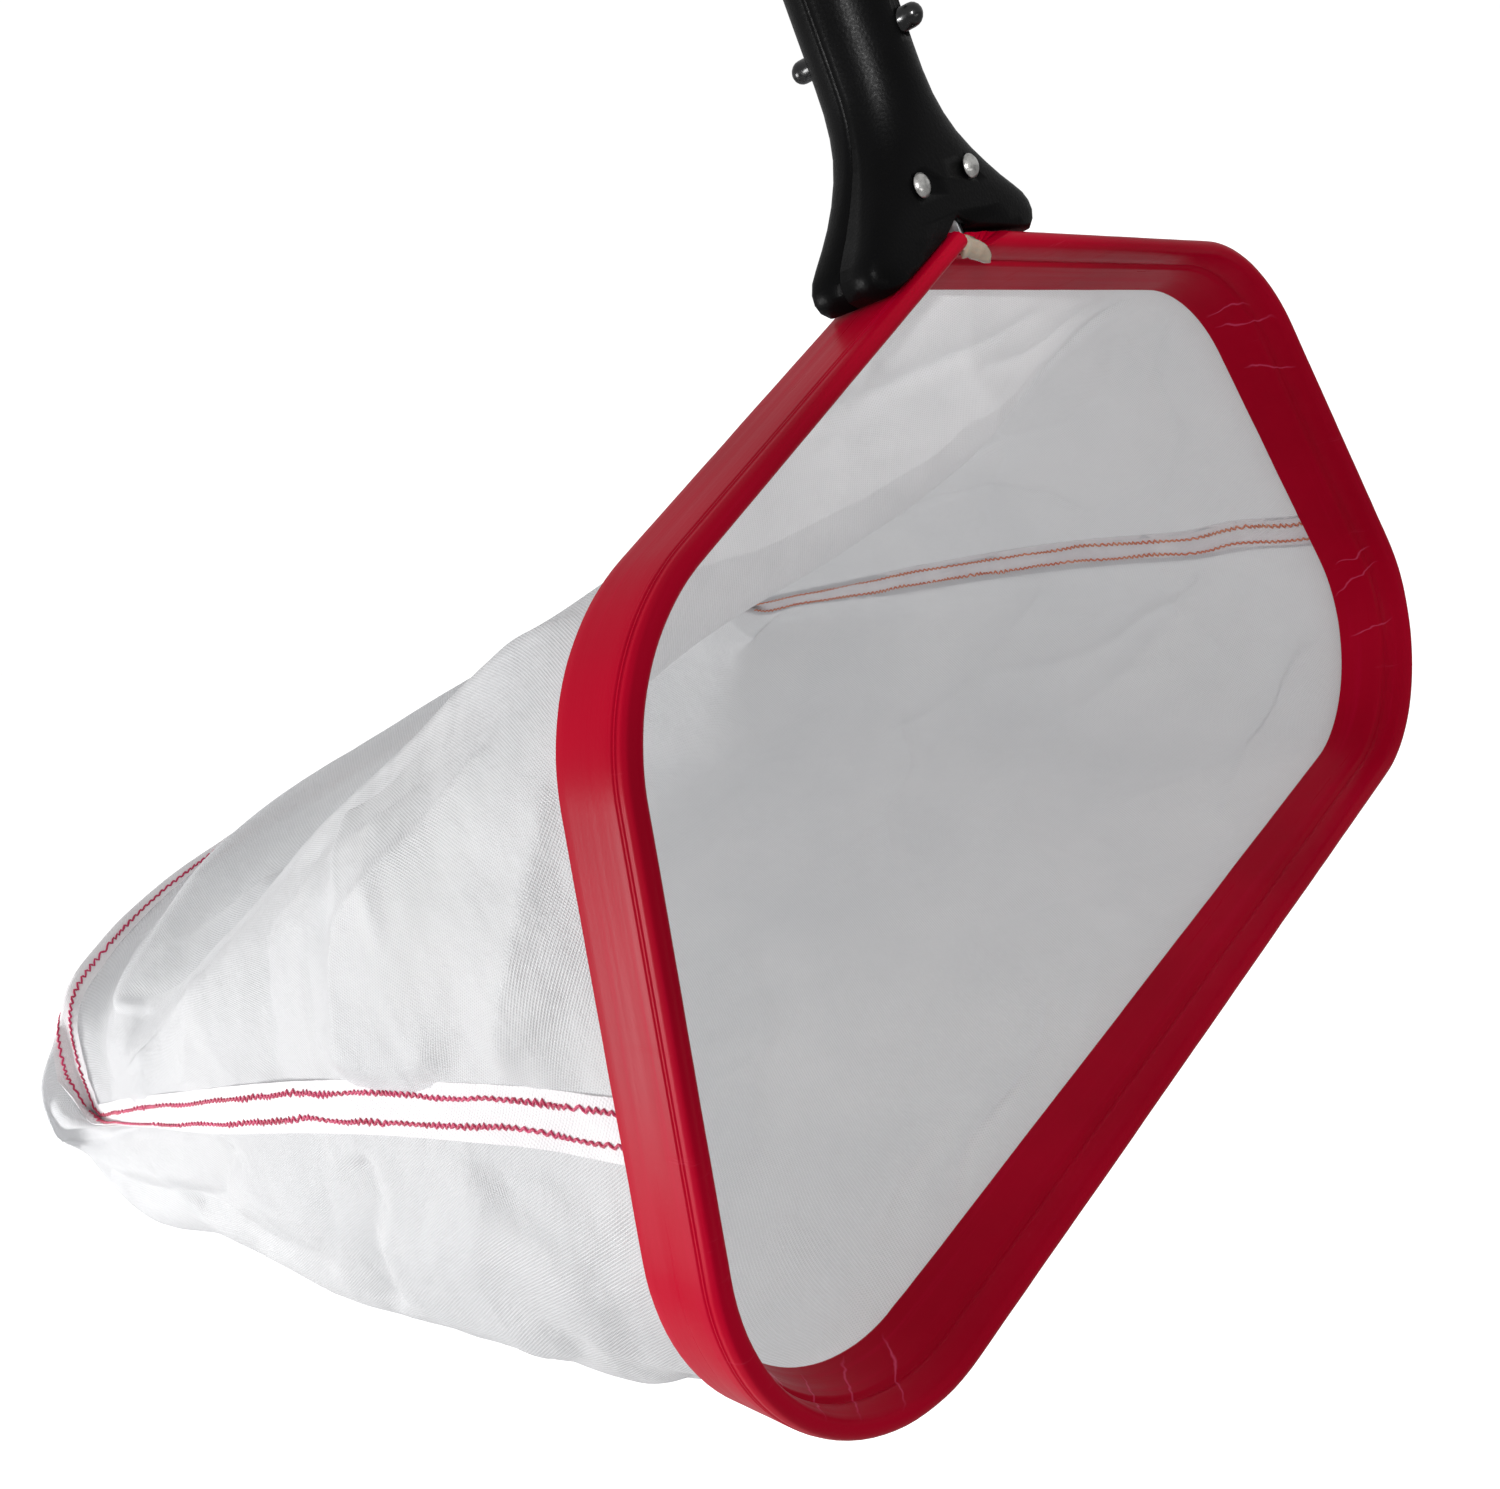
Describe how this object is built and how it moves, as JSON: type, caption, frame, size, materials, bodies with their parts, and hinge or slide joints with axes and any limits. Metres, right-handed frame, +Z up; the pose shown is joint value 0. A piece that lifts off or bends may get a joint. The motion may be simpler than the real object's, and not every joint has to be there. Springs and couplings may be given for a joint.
{
  "type": "leaf skimmer net",
  "caption": "Pool leaf net: red-lipped pentagonal scoop mouth, deep fine-mesh bag with taped seam, black forked yoke and pole plug with sprung snap buttons.",
  "frame": {"origin": "on the pole plug's axis at the height of the two snap buttons", "axes": "+Z up the plug towards the pole, +Y from the mouth plane back into the bag, +X across the mouth"},
  "size_m": [0.5113, 0.4146, 0.414],
  "materials": {
    "lip_pvc": "glossy extruded red vinyl",
    "band_aluminium": "mill finish",
    "hem_webbing": "woven binding",
    "bag_mesh": "fine silvery open-weave mesh",
    "tape": "white woven tape",
    "thread": "crimson zigzag thread",
    "filler": "translucent cured sealant",
    "yoke_nylon": "glossy black moulded nylon, fine grain",
    "rivet_metal": "bright, slightly scuffed",
    "spring_steel": "brushed",
    "button_plastic": "glossy black"
  },
  "bodies": {
    "root": {"lip_extrusion": "lip_pvc", "frame_band": "band_aluminium", "hem_binding": "hem_webbing", "bag_top_panel": "bag_mesh", "bag_bottom_panel": "bag_mesh", "seam_tape": "tape", "stitch_left_upper": "thread", "stitch_end_upper": "thread", "stitch_right_upper": "thread", "stitch_left_lower": "thread", "stitch_end_lower": "thread", "stitch_right_lower": "thread", "apex_filler": "filler", "yoke_front_half": "yoke_nylon", "yoke_back_half": "yoke_nylon", "rivet_left": "rivet_metal", "rivet_right": "rivet_metal", "rivet_washer_left": "rivet_metal", "rivet_washer_right": "rivet_metal", "clip_bend": "spring_steel"},
    "snap_front": {"clip_leg_front": "spring_steel", "clip_button_front": "button_plastic"},
    "snap_back": {"clip_leg_back": "spring_steel", "clip_button_back": "button_plastic"}
  },
  "joints": [
    {"name": "snap_button_front", "type": "hinge", "parent": "root", "child": "snap_front", "pos_m": [0.00303, -0.00932, 0.05485], "axis": [0.9511, 0.309, 0], "range_deg": [0, 6.48], "stiffness_Nm_per_rad": 3.5, "springref_deg": -0.57},
    {"name": "snap_button_back", "type": "hinge", "parent": "root", "child": "snap_back", "pos_m": [-0.00303, 0.00932, 0.05485], "axis": [-0.9511, -0.309, 0], "range_deg": [0, 6.48], "stiffness_Nm_per_rad": 3.5, "springref_deg": -0.57}
  ]
}
